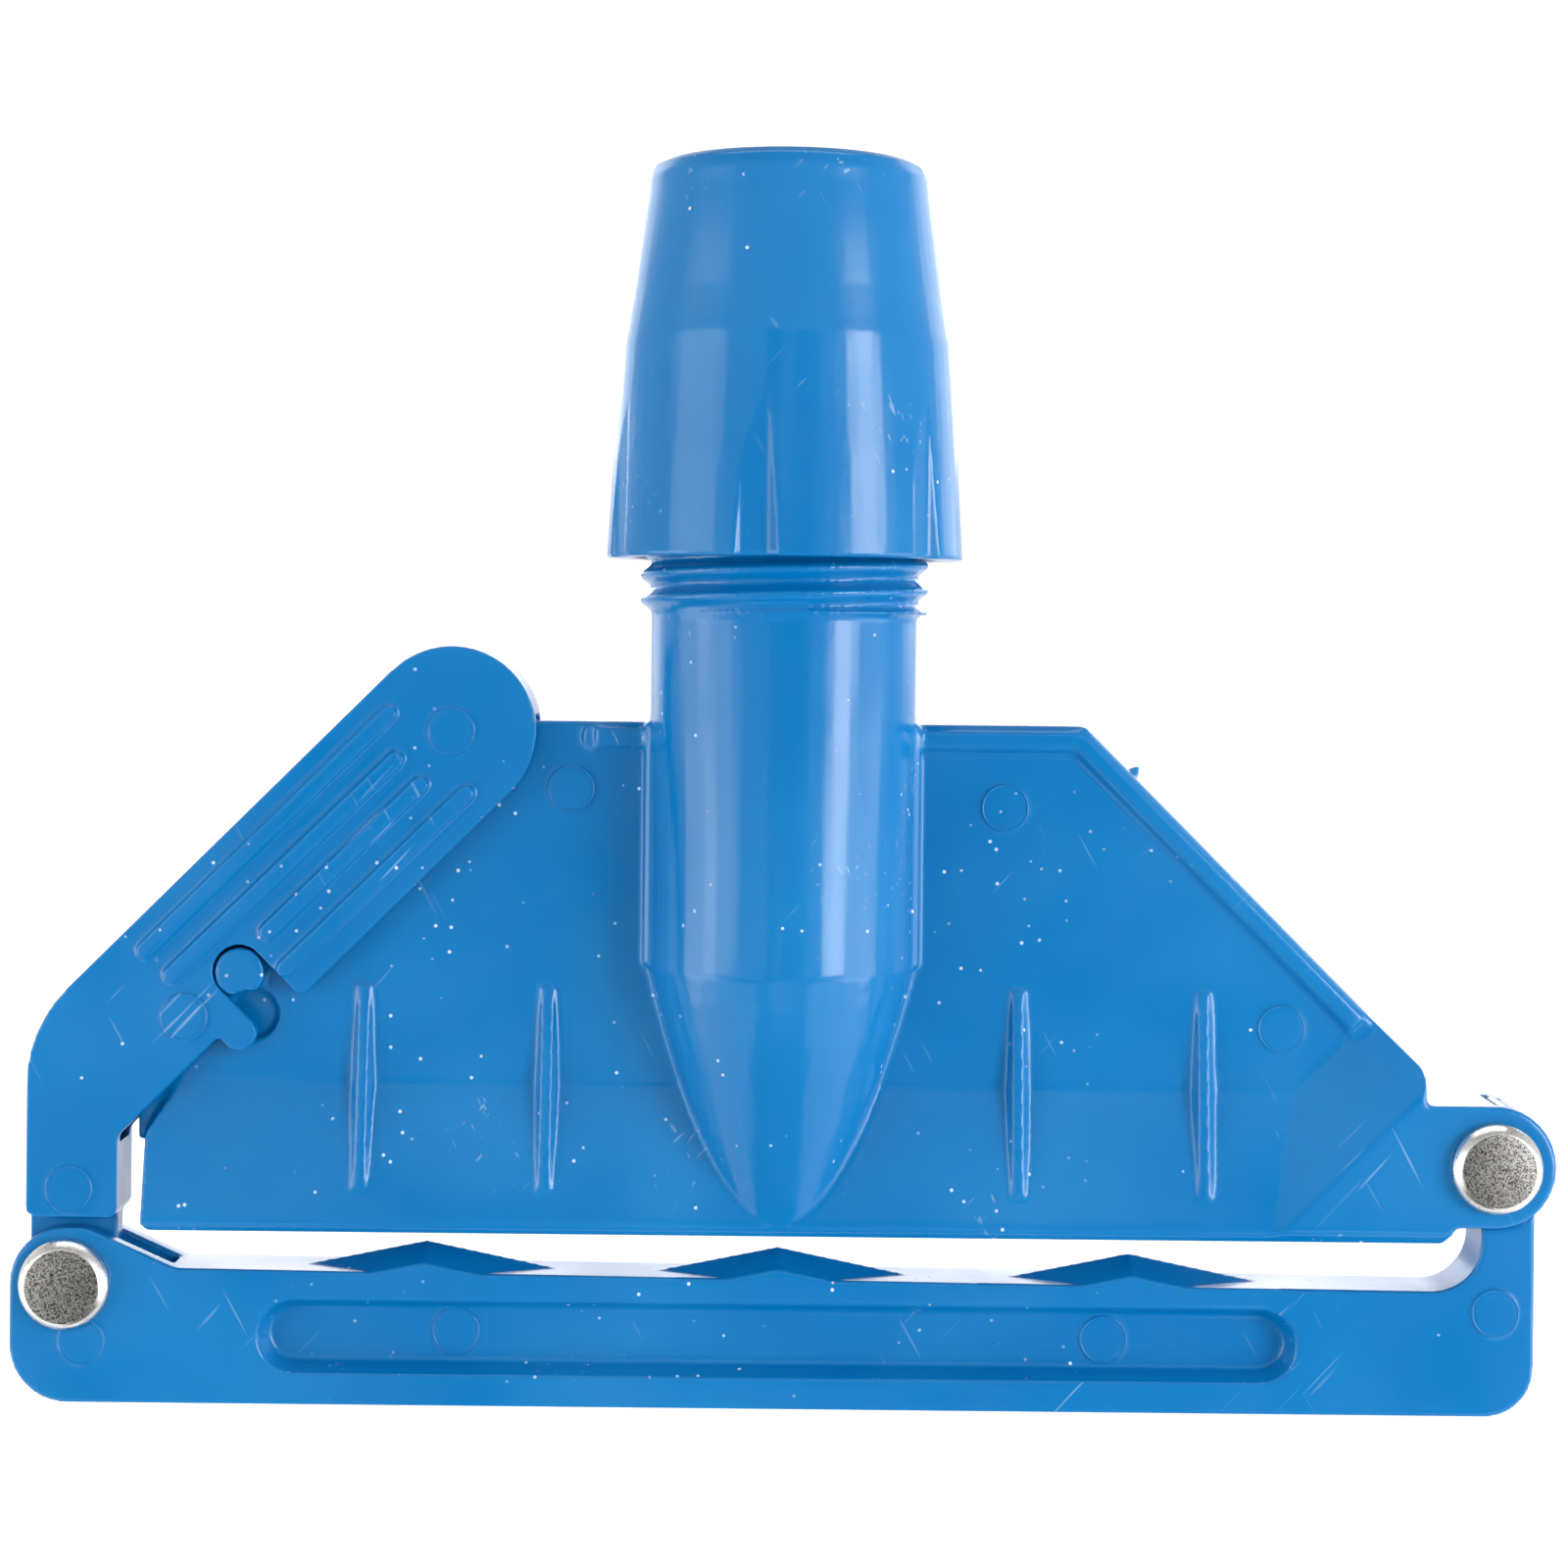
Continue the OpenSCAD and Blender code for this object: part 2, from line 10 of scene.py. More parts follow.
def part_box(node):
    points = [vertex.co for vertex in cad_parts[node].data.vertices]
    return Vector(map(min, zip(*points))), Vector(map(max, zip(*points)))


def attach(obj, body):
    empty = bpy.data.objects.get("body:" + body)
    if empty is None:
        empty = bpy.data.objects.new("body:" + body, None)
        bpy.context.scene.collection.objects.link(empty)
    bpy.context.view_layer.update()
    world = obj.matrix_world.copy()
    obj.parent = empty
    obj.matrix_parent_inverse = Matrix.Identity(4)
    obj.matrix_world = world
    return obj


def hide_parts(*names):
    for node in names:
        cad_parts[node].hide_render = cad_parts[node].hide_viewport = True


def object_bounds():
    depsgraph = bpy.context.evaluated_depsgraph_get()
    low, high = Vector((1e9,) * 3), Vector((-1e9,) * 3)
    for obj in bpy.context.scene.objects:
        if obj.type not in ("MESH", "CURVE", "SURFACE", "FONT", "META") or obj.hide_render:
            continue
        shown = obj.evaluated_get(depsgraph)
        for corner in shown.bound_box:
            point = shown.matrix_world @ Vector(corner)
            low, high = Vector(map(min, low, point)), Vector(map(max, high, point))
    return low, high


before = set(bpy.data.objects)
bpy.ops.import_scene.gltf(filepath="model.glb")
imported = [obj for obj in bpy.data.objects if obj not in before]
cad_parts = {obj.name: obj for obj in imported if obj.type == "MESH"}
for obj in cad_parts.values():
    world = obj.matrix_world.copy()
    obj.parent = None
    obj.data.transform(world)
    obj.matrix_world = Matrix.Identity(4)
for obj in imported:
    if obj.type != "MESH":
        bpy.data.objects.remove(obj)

bl_info = {
    "name": "Mop Clamp Head",
    "version": (1, 0, 0),
    "blender": (4, 5, 0),
    "location": "3D View > Sidebar > Mop Clamp",
    "description": "Finishes a hinged mop clamp head: moulded skins, rivets and studio",
    "category": "Object",
}

CAD_LOW, CAD_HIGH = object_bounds()
MM = 0.001


# ---------------------------------------------------------------- settings

class MouldSettings(PropertyGroup):
    """How the moulded skins are made."""

    grain: FloatProperty(
        name="Skin grain", description="Width of the skins' faces",
        default=0.36 * MM, min=0.2 * MM, max=2 * MM, precision=5, unit="LENGTH")
    fine_grain: FloatProperty(
        name="Fine grain", description="Width of the faces on the small pieces",
        default=0.3 * MM, min=0.2 * MM, max=2 * MM, precision=5, unit="LENGTH")
    easing: IntProperty(
        name="Edge easing", description="Smoothing passes that round the edges",
        default=2, min=0, max=40)


class MarkSettings(PropertyGroup):
    """Round marks that the ejector pins leave in the mouldings."""

    radius: FloatProperty(
        name="Radius", description="Radius of each mark's raised line",
        default=2.75 * MM, min=1 * MM, max=5 * MM, precision=5, unit="LENGTH")
    line: FloatProperty(
        name="Line", description="Half the width of the raised line",
        default=0.17 * MM, min=0.05 * MM, max=0.5 * MM, precision=5, unit="LENGTH")


class PlasticSettings(PropertyGroup):
    """Finish of the blue plastic."""

    colour: FloatVectorProperty(
        name="Colour", description="Colour of the plastic",
        default=(0.0, 0.158, 0.43), size=3, min=0, max=1, subtype="COLOR")
    flow_colour: FloatVectorProperty(
        name="Flow colour", description="Colour of the paler flow marks",
        default=(0.006, 0.186, 0.47), size=3, min=0, max=1, subtype="COLOR")
    dust_colour: FloatVectorProperty(
        name="Dust colour", description="Colour of the dust specks",
        default=(0.75, 0.86, 0.95), size=3, min=0, max=1, subtype="COLOR")
    roughness: FloatProperty(
        name="Roughness", description="Roughness of the moulded gloss",
        default=0.16, min=0.02, max=1, subtype="FACTOR")


class RivetSettings(PropertyGroup):
    """Sizes and finish of the two rivets."""

    # The bevel's brightness is a painted highlight: its faces take the rim's brightened copy of the
    # steel.
    bevel: FloatProperty(
        name="Head bevel", description="Width of the bright bevel round each head",
        default=0.85 * MM, min=0.2 * MM, max=2 * MM, precision=5, unit="LENGTH")
    colour: FloatVectorProperty(
        name="Colour", description="Colour of the zinc-plated steel",
        default=(0.42, 0.41, 0.395), size=3, min=0, max=1, subtype="COLOR")
    head_height: FloatProperty(
        name="Head height", description="Height of each rivet's head",
        default=2.2 * MM, min=1 * MM, max=3 * MM, precision=5, unit="LENGTH")
    shank_radius: FloatProperty(
        name="Shank radius", description="Radius of each rivet's shank",
        default=2.5 * MM, min=2 * MM, max=3 * MM, precision=5, unit="LENGTH")
    tail_radius: FloatProperty(
        name="Tail radius", description="Radius of the end formed at the back",
        default=4 * MM, min=3 * MM, max=5 * MM, precision=5, unit="LENGTH")
    tail_height: FloatProperty(
        name="Tail height", description="Height of the end formed at the back",
        default=1.5 * MM, min=1 * MM, max=2 * MM, precision=5, unit="LENGTH")
    soft: FloatProperty(
        name="Softness", description="How far each edge of a rivet is broken",
        default=0.22 * MM, min=0.05 * MM, max=0.4 * MM, precision=5, unit="LENGTH")
    sides: IntProperty(
        name="Sides", description="Facets round each head", default=72, min=24, max=128)


class StudSettings(PropertyGroup):
    """The stud that the lever's notch snaps over."""

    place: FloatVectorProperty(
        name="Place", description="Middle of the stud",
        default=(-65.1 * MM, 0, -6.2 * MM), size=3, precision=5, subtype="TRANSLATION")
    radius: FloatProperty(
        name="Radius", description="Radius of the stud",
        default=2.95 * MM, min=2 * MM, max=3.05 * MM, precision=5, unit="LENGTH")
    height: FloatProperty(
        name="Height", description="Height of the stud above the plate's middle",
        default=4.1 * MM, min=2 * MM, max=5 * MM, precision=5, unit="LENGTH")
    pocket: FloatVectorProperty(
        name="Pocket", description="Middle of the shallow pocket beside the stud",
        default=(-63.8 * MM, 0, -11.4 * MM), size=3, precision=5, subtype="TRANSLATION")
    pocket_radius: FloatProperty(
        name="Pocket radius", description="Radius of the shallow pocket",
        default=3.1 * MM, min=2 * MM, max=4 * MM, precision=5, unit="LENGTH")


class StudioSettings(PropertyGroup):
    """Floor, room light and camera."""

    floor_drop: FloatProperty(
        name="Floor drop", description="Height of the held clamp's lowest edge above the floor",
        default=0.16, min=0, max=1, unit="LENGTH")
    floor_radius: FloatProperty(
        name="Floor radius", description="Radius of the floor's flat part",
        default=1.2, min=0.8, max=3, unit="LENGTH")
    floor_bend: FloatProperty(
        name="Floor bend", description="Radius of the bend from the floor up into the wall",
        default=0.8, min=0.2, max=2, unit="LENGTH")
    wall_height: FloatProperty(
        name="Wall height", description="Height of the wall above the bend",
        default=1.6, min=0.5, max=3, unit="LENGTH")
    room_light: FloatProperty(
        name="Room light", description="Strength of the even light from all round",
        default=0.42, min=0, max=2)
    camera_distance: FloatProperty(
        name="Camera distance", description="From the camera to the clamp's middle plane",
        default=0.3574, min=0.2, max=2, unit="LENGTH")
    camera_height: FloatProperty(
        name="Camera height", description="Height of the camera above the pole's seat",
        default=0.036, min=-0.2, max=0.5, unit="LENGTH")
    lens: FloatProperty(
        name="Lens", description="Focal length in millimetres",
        default=67.5, min=20, max=200)
    roll: FloatProperty(
        name="Camera roll", description="Tilt of the camera round its own axis",
        default=math.radians(-0.6), min=-0.2, max=0.2, subtype="ANGLE")
    rise: FloatProperty(
        name="Camera shift", description="Vertical shift of the lens, in picture widths",
        default=-0.1, min=-0.3, max=0.3)


def settings(name):
    return getattr(bpy.context.scene, name)


# ---------------------------------------------------------------- meshes

def link(name, mesh):
    """A new object in the scene that holds the mesh."""
    piece = bpy.data.objects.new(name, mesh)
    bpy.context.scene.collection.objects.link(piece)
    return piece


def prism(outline, front, back):
    """A closed bar along Y whose outline is drawn in X and Z."""
    bm = bmesh.new()
    ends = [[bm.verts.new((x, y, z)) for x, z in outline] for y in (front, back)]
    count = len(outline)
    bm.faces.new(ends[0])
    bm.faces.new(reversed(ends[1]))
    for i in range(count):
        j = (i + 1) % count
        bm.faces.new((ends[0][j], ends[0][i], ends[1][i], ends[1][j]))
    bmesh.ops.recalc_face_normals(bm, faces=bm.faces)
    mesh = bpy.data.meshes.new("prism")
    bm.to_mesh(mesh)
    bm.free()
    return mesh


def raised_line(skin, x, z, radius, line, sides=56, around=8, sunk=0.1 * MM):
    """A thin round bead laid on the front of the skin, partly sunk into it."""
    hit, point, *_ = skin.ray_cast((x, -1, z), (0, 1, 0))
    if not hit:
        raise RuntimeError(f"no face at {x:.4f}, {z:.4f}")
    bm = bmesh.new()
    rings = []
    for i in range(sides):
        turn = 2 * math.pi * i / sides
        ring = []
        for j in range(around):
            lean = 2 * math.pi * j / around
            reach = radius + line * math.cos(lean)
            ring.append(bm.verts.new((
                x + reach * math.cos(turn), point.y + sunk - line * math.sin(lean),
                z + reach * math.sin(turn))))
        rings.append(ring)
    for i in range(sides):
        near, far = rings[i], rings[(i + 1) % sides]
        for j in range(around):
            k = (j + 1) % around
            bm.faces.new((near[j], near[k], far[k], far[j]))
    bmesh.ops.recalc_face_normals(bm, faces=bm.faces)
    mesh = bpy.data.meshes.new("raised_line")
    bm.to_mesh(mesh)
    bm.free()
    mesh.shade_smooth()
    return mesh


def with_marks(piece, places):
    """Adds an ejector pin's mark at each place, given as x and z in millimetres."""
    marks = settings("clamp_marks")
    lines = [raised_line(piece, x * MM, z * MM, marks.radius, marks.line) for x, z in places]
    bm = bmesh.new()
    bm.from_mesh(piece.data)
    for mesh in lines:
        bm.from_mesh(mesh)
        bpy.data.meshes.remove(mesh)
    bm.to_mesh(piece.data)
    bm.free()
    piece.data.shade_smooth()


def eased_skin(name, node, grain, easing, extras=()):
    """One closed skin over a CAD node and what is added to it, with its edges eased."""
    bm = bmesh.new()
    bm.from_mesh(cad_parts[node].data)
    for mesh in extras:
        bm.from_mesh(mesh)
        bpy.data.meshes.remove(mesh)
    raw = bpy.data.meshes.new(name + "_raw")
    bm.to_mesh(raw)
    bm.free()
    piece = link(name + "_raw", raw)
    remesh = piece.modifiers.new("Skin", "REMESH")
    remesh.mode = "VOXEL"
    remesh.voxel_size = grain
    remesh.use_smooth_shade = True
    ease = piece.modifiers.new("Eased edges", "SMOOTH")
    ease.factor = 0.5
    ease.iterations = easing
    depsgraph = bpy.context.evaluated_depsgraph_get()
    skin = bpy.data.meshes.new_from_object(piece.evaluated_get(depsgraph))
    bpy.data.objects.remove(piece)
    bpy.data.meshes.remove(raw)
    if len(skin.polygons) < 100:
        raise RuntimeError(f"the skin over {node} came out empty")
    skin.name = name
    skin.materials.clear()
    return link(name, skin)


def turned(name, profile, sides, place):
    """A solid turned round an axis along Y: the profile holds (radius, y) from front to back."""
    bm = bmesh.new()
    rings = []
    for radius, y in profile:
        if radius == 0:
            rings.append([bm.verts.new((0, y, 0))])
            continue
        turn = [2 * math.pi * i / sides for i in range(sides)]
        rings.append([bm.verts.new((radius * math.cos(a), y, radius * math.sin(a))) for a in turn])
    for near, far in zip(rings, rings[1:]):
        for i in range(sides):
            j = (i + 1) % sides
            corners = [near[i % len(near)], near[j % len(near)], far[j % len(far)], far[i % len(far)]]
            bm.faces.new(dict.fromkeys(corners))
    bmesh.ops.recalc_face_normals(bm, faces=bm.faces)
    bmesh.ops.translate(bm, verts=bm.verts, vec=place)
    mesh = bpy.data.meshes.new(name)
    bm.to_mesh(mesh)
    bm.free()
    mesh.shade_smooth()
    return link(name, mesh)


# ---------------------------------------------------------------- materials

class NodeBench:
    """Adds nodes to a material and joins them by name."""

    def __init__(self, name):
        self.material = bpy.data.materials.new(name)
        self.material.use_nodes = True
        self.tree = self.material.node_tree
        self.shader = self.tree.nodes["Principled BSDF"]
        self.place = self.add("ShaderNodeTexCoord").outputs["Object"]

    def add(self, kind, inputs=(), **values):
        node = self.tree.nodes.new(kind)
        for key, value in values.items():
            setattr(node, key, value)
        for key, value in dict(inputs).items():
            if isinstance(value, bpy.types.NodeSocket):
                self.tree.links.new(value, node.inputs[key])
            else:
                node.inputs[key].default_value = value
        return node

    def noise(self, scale, detail=2.0, rough=0.5, place=None):
        return self.add("ShaderNodeTexNoise", {
            "Vector": place or self.place, "Scale": scale, "Detail": detail,
            "Roughness": rough}).outputs["Fac"]

    def ramp(self, value, low, high, to_low=0.0, to_high=1.0):
        return self.add("ShaderNodeMapRange", {
            "Value": value, "From Min": low, "From Max": high,
            "To Min": to_low, "To Max": to_high}).outputs["Result"]

    def maths(self, operation, a, b):
        return self.add("ShaderNodeMath", {0: a, 1: b}, operation=operation).outputs[0]

    def mix(self, share, a, b):
        node = self.add("ShaderNodeMix", data_type="RGBA")
        for key, value in (("Factor", share), ("A", a), ("B", b)):
            socket = next(s for s in node.inputs if s.name == key and s.enabled)
            if isinstance(value, bpy.types.NodeSocket):
                self.tree.links.new(value, socket)
            else:
                socket.default_value = value
        return next(s for s in node.outputs if s.enabled)

    def bump(self, height, strength, distance, onto=None):
        inputs = {"Height": height, "Strength": strength, "Distance": distance}
        if onto:
            inputs["Normal"] = onto
        return self.add("ShaderNodeBump", inputs).outputs["Normal"]

    def finish(self, **sockets):
        for key, value in sockets.items():
            socket = self.shader.inputs[key.replace("_", " ")]
            if isinstance(value, bpy.types.NodeSocket):
                self.tree.links.new(value, socket)
            else:
                socket.default_value = value
        return self.material


def scratches(bench, turn, scale):
    """Thin straight marks at one slant, broken up along their length."""
    place = bench.add("ShaderNodeMapping", {
        "Vector": bench.place, "Rotation": (0, turn, 0),
        "Scale": (1 / scale, 1 / scale, 30 / scale)}, vector_type="TEXTURE").outputs[0]
    lines = bench.ramp(bench.noise(1, 1, 0.4, place), 0.71, 0.76)
    patches = bench.ramp(bench.noise(55, 1), 0.56, 0.66)
    return bench.maths("MULTIPLY", lines, patches)


# Middle of the stretch where the dust has gathered, round the foot of the pole socket
DUST_PLACE = (-12 * MM, -8 * MM, -10 * MM)


def blue_plastic():
    """Glossy moulded plastic with flow marks, fine scratches and dust specks."""
    finish = settings("clamp_plastic")
    bench = NodeBench("moulded_blue")
    flow = bench.ramp(bench.noise(26, 3, 0.55), 0.42, 0.7)
    base = bench.mix(flow, (*finish.colour, 1), (*finish.flow_colour, 1))
    specks = bench.add("ShaderNodeTexVoronoi", {"Vector": bench.place, "Scale": 420})
    near = bench.ramp(specks.outputs["Distance"], 0.11, 0.06)
    few = bench.ramp(bench.noise(60, 2), 0.48, 0.52)
    gather = bench.add("ShaderNodeVectorMath", {0: bench.place, 1: DUST_PLACE}, operation="DISTANCE")
    close = bench.ramp(gather.outputs["Value"], 0.066, 0.04)
    few = bench.maths("MULTIPLY", few, close)
    sparse = bench.ramp(bench.noise(150, 1), 0.62, 0.65)
    dust = bench.maths("MULTIPLY", near, bench.maths("MAXIMUM", few, sparse))
    marks = bench.maths("MAXIMUM", scratches(bench, 0.75, 1900), scratches(bench, -0.5, 1600))
    colour = bench.mix(bench.maths("MULTIPLY", dust, 0.8), base, (*finish.dust_colour, 1))
    colour = bench.mix(bench.maths("MULTIPLY", marks, 0.2), colour, (*finish.dust_colour, 1))
    rough = bench.ramp(bench.noise(70, 3), 0.3, 0.75, finish.roughness - 0.03, finish.roughness + 0.1)
    rough = bench.maths("ADD", rough, bench.maths("MULTIPLY", dust, 0.4))
    warp = bench.bump(bench.noise(21, 1, 0.3), 0.9, 0.0042)
    ripple = bench.bump(bench.noise(110, 2), 0.1, 0.0004, warp)
    peel = bench.bump(bench.noise(900, 2), 0.06, 0.0001, ripple)
    scored = bench.bump(marks, 0.25, -0.00004, peel)
    return bench.finish(Base_Color=colour, Roughness=rough, Normal=scored, IOR=1.45)


def rivet_steel(name, tone_and_painted_highlight, pit_tone_and_painted_highlight, roughness, grain_strength):
    """Zinc-plated steel: a fine grain, darker in its pits, both as shares of the colour. Shares above
    one make a brightened copy of the steel, a painted highlight, as on the rivets' rims.
    """
    finish = settings("clamp_rivets")
    bench = NodeBench(name)
    grain = bench.noise(5200, 3, 0.7)
    pits = bench.ramp(grain, 0.4, 0.56)
    dark, bright = ([c * part for c in finish.colour] for part in (pit_tone_and_painted_highlight, tone_and_painted_highlight))
    colour = bench.mix(pits, (*dark, 1), (*bright, 1))
    clouds = bench.noise(320, 3)
    rough = bench.ramp(clouds, 0.3, 0.7, roughness - 0.08, roughness + 0.12)
    bumps = bench.bump(grain, grain_strength, 0.00008)
    return bench.finish(Base_Color=colour, Roughness=rough, Normal=bumps, Metallic=1.0)


def material(name, make, *values):
    return bpy.data.materials.get(name) or make(*values)


# ---------------------------------------------------------------- pieces

# Middles of the ejector pins' marks and the burr on the slanted edge, as x and z in millimetres.
PLATE_MARKS = [(-25.5, 16.2), (27, 14.4), (60.7, -12)]
BAR_MARKS = [(-83.5, -50.6), (-38.8, -49.6), (39.5, -49.8), (86.2, -45.5)]
LEVER_MARKS = [(-39.8, 23.1), (-71.6, -11.6), (-85.2, -32.4)]
EDGE_BURR = [(41.6, 18.9), (42.3, 18.0), (43.1, 17.9), (43.4, 19.6), (42.2, 19.3)]
BURR_FRONT, BURR_BACK = -0.6 * MM, 0.9 * MM


def settle(piece, body, node, finish):
    """The piece stands for its CAD node and moves with the node's body."""
    piece.data.materials.append(finish)
    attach(piece, body)
    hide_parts(node)


def stud_outline(stud, count=40):
    """A disc whose lower side the pocket beside it scoops out."""
    middle = Vector((stud.place[0], stud.place[2]))
    pocket = Vector((stud.pocket[0], stud.pocket[2]))
    points = []
    for i in range(count):
        turn = 2 * math.pi * i / count
        point = middle + stud.radius * Vector((math.cos(turn), math.sin(turn)))
        off = point - pocket
        if off.length < stud.pocket_radius:
            point = pocket + off.normalized() * stud.pocket_radius
        points.append(point)
    return points


def moulding(name, node, body, grain, marks=(), extras=()):
    """A blue skin in place of one CAD node, with its ejector pins' marks."""
    piece = eased_skin(name, node, grain, settings("clamp_mould").easing, extras)
    if marks:
        with_marks(piece, marks)
    settle(piece, body, node, material("moulded_blue", blue_plastic))


class CLAMP_OT_holder(Operator):
    """Skins the plate, its pole socket and its hinge block, with the full-height stud"""

    bl_idname = "clamp.holder"
    bl_label = "Clamp Holder"

    def execute(self, context):
        stud = settings("clamp_stud")
        full_stud = prism(stud_outline(stud), -stud.height, 0)
        burr = prism([(x * MM, z * MM) for x, z in EDGE_BURR], BURR_FRONT, BURR_BACK)
        moulding(
            "holder_moulding", "clamp_holder", "holder", settings("clamp_mould").grain,
            PLATE_MARKS, [full_stud, burr])
        return {"FINISHED"}


class CLAMP_OT_collar(Operator):
    """Skins the screw collar"""

    bl_idname = "clamp.collar"
    bl_label = "Screw Collar"

    def execute(self, context):
        moulding("collar_moulding", "pole_collar", "collar", settings("clamp_mould").fine_grain)
        return {"FINISHED"}


class CLAMP_OT_sleeve(Operator):
    """Skins the split grip sleeve inside the collar"""

    bl_idname = "clamp.sleeve"
    bl_label = "Grip Sleeve"

    def execute(self, context):
        moulding("sleeve_moulding", "grip_sleeve", "sleeve", settings("clamp_mould").fine_grain)
        return {"FINISHED"}


class CLAMP_OT_bar(Operator):
    """Skins the toothed jaw bar"""

    bl_idname = "clamp.bar"
    bl_label = "Jaw Bar"

    def execute(self, context):
        moulding("bar_moulding", "jaw_bar", "bar", settings("clamp_mould").fine_grain, BAR_MARKS)
        return {"FINISHED"}


class CLAMP_OT_lever(Operator):
    """Skins the locking lever"""

    bl_idname = "clamp.lever"
    bl_label = "Locking Lever"

    def execute(self, context):
        moulding(
            "lever_moulding", "locking_lever", "lever", settings("clamp_mould").fine_grain,
            LEVER_MARKS)
        return {"FINISHED"}


def rivet_profile(rivets, low, high):
    """Radius and depth along a rivet: a bevelled head, the shank and a rounded tail."""
    soft, bevel = rivets.soft, rivets.bevel
    head_r = (high.x - low.x) / 2
    flat_r = head_r - bevel
    head_y, tail_y = low.y + rivets.head_height, high.y - rivets.tail_height
    shank_r, tail_r = rivets.shank_radius, rivets.tail_radius
    head = [
        (0, low.y), (flat_r - soft, low.y), (flat_r, low.y + soft / 3),
        (head_r - soft * 1.3, low.y + bevel), (head_r - soft / 3, low.y + bevel + soft),
        (head_r, low.y + bevel + 2.5 * soft), (head_r, head_y - soft), (head_r - soft, head_y)]
    tail = [
        (tail_r - soft, tail_y), (tail_r, tail_y + soft), (tail_r - 0.3 * MM, high.y - 0.6 * MM),
        (tail_r - 1.2 * MM, high.y - 0.1 * MM), (tail_r - 1.8 * MM, high.y), (0, high.y)]
    return [*head, (shank_r, head_y), (shank_r, tail_y), *tail]


class CLAMP_OT_rivets(Operator):
    """Turns the two rivets: bevelled heads in front, shanks, and formed ends at the back"""

    bl_idname = "clamp.rivets"
    bl_label = "Rivets"

    def execute(self, context):
        rivets = settings("clamp_rivets")
        flat = material("rivet_flat", rivet_steel, "rivet_flat", 1, 0.08, 0.42, 0.5)
        # The rim's copy of the steel is 2.1 times brighter than the plain steel, a painted highlight.
        painted_highlight_rim = material("rivet_rim_painted_highlight", rivet_steel, "rivet_rim_painted_highlight", 2.1, 1.5, 0.24, 0.08)
        for node, body in (("hinge_rivet", "holder"), ("lever_rivet", "bar")):
            low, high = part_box(node)
            middle = (low + high) / 2
            profile = rivet_profile(rivets, low, high)
            piece = turned(node + "_turned", profile, rivets.sides, (middle.x, 0, middle.z))
            settle(piece, body, node, flat)
            piece.data.materials.append(painted_highlight_rim)
            # Faces facing straight front or back keep the plain steel; every other face takes the
            # painted highlight.
            for face in piece.data.polygons:
                face.material_index = 0 if abs(face.normal.y) > 0.98 else 1
        return {"FINISHED"}


# ---------------------------------------------------------------- studio

# Each lamp's place, width, height and power. All but the wall's aim at the clamp's middle.
SOFT_BOXES = {
    "left_box": ((-0.67, -0.43, 0.08), 0.46, 0.42, 1.3),
    "right_box": ((0.6, -0.52, 0.08), 0.28, 0.42, 3.5),
    "low_left_box": ((-0.42, -0.1, -0.19), 0.3, 0.5, 1.2),
    "low_right_box": ((0.42, -0.1, -0.19), 0.3, 0.5, 1.2),
    "top_box": ((0, -0.05, 0.95), 1.0, 0.4, 2.4),
    "rear_strip": ((0, 1.4, 0.35), 1.6, 0.35, 4),
    "wall_wash": ((0, 0.9, 1.1), 2.4, 0.5, 11),
    "back_left_box": ((-0.7, 0.8, 0.35), 0.5, 0.8, 1.6),
    "back_right_box": ((0.75, 0.7, 0.4), 0.5, 0.8, 1.6),
}
WALL_AIM = (0, 2.4, 0.2)
# Each dark card's place, width and length. The floor's lie a little above it.
CARD_LIFT = 0.01
WALL_CARD = ((0.1, -1.4, 0.1), 0.9, 0.62)
FLOOR_CARDS = {
    "floor_card": ((0, -0.84), 0.8, 1.1),
    "near_card": ((0, -0.16), 0.22, 0.24),
}


def soft_box(name, aim, place, width, height, power):
    lamp = bpy.data.lights.new(name, "AREA")
    lamp.shape = "RECTANGLE"
    lamp.size = width
    lamp.size_y = height
    lamp.energy = power
    box = bpy.data.objects.new(name, lamp)
    box.location = place
    box.visible_camera = False
    box.rotation_euler = (Vector(aim) - Vector(place)).to_track_quat("-Z", "Y").to_euler()
    bpy.context.scene.collection.objects.link(box)


